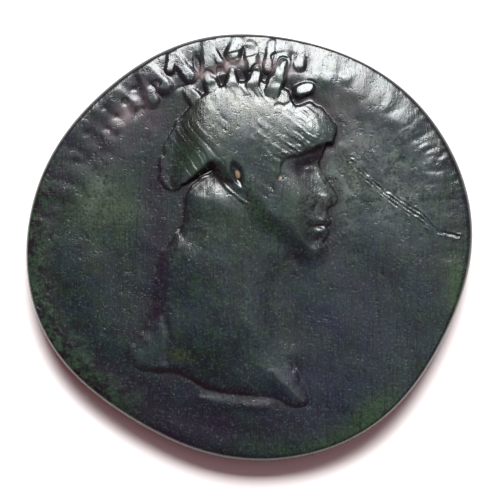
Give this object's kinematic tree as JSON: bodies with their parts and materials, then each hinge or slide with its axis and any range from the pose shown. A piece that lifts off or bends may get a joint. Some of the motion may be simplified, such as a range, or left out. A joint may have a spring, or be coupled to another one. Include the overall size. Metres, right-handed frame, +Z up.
{
  "type": "roman bronze coin",
  "caption": "Worn round Roman bronze coin: a portrait with a spiked crown in low relief on the face, a draped standing figure with a staff on the back.",
  "frame": {"origin": "middle of the underside, where the coin lies on its reverse", "axes": "+Z up out of the portrait side, +X towards the right of the upright portrait, across the widest part of the coin, +Y towards the top of the portrait's head"},
  "size_m": [0.028, 0.0268, 0.0032],
  "materials": {
    "patinatedMetal": "struck brass-coloured alloy under a dark green-brown patina, satin on the worn high parts"
  },
  "bodies": {
    "root": {"coin": "patinatedMetal"}
  },
  "joints": []
}
